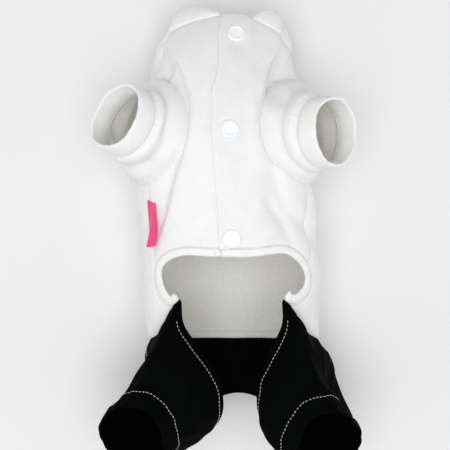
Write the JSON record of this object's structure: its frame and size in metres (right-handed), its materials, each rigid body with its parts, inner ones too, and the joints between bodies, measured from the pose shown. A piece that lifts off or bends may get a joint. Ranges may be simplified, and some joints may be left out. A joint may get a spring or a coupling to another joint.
{
  "type": "dog jumpsuit",
  "caption": "Small dog's jumpsuit: snapped white knit top with short cuffed sleeves, sewn to black trousers that leave the belly open, in its worn shape.",
  "frame": {"origin": "on the outside of the back panel, at its middle and level with the belly hem's upper side, where the back of a wearer who lies on its back rests", "axes": "+Z out of the belly, +Y to the neck, +X to the right as one looks down on the belly"},
  "size_m": [0.1874, 0.3221, 0.1362],
  "materials": {
    "white_knit": "matte brushed knit",
    "black_twill": "matte twill",
    "snap_resin": "satin moulded",
    "pink_tape": "woven tape"
  },
  "bodies": {
    "root": {"front_right": "white_knit", "front_left": "white_knit", "back_panel": "white_knit", "sleeve_left": "white_knit", "cuff_left": "white_knit", "trouser_leg_left": "black_twill", "sleeve_right": "white_knit", "cuff_right": "white_knit", "trouser_leg_right": "black_twill", "trouser_seat": "black_twill", "collar": "white_knit", "hem_band": "white_knit", "snap_cap_1": "snap_resin", "snap_back_1": "snap_resin", "snap_cap_2": "snap_resin", "snap_back_2": "snap_resin", "snap_cap_3": "snap_resin", "snap_back_3": "snap_resin", "side_label": "pink_tape"}
  },
  "joints": []
}
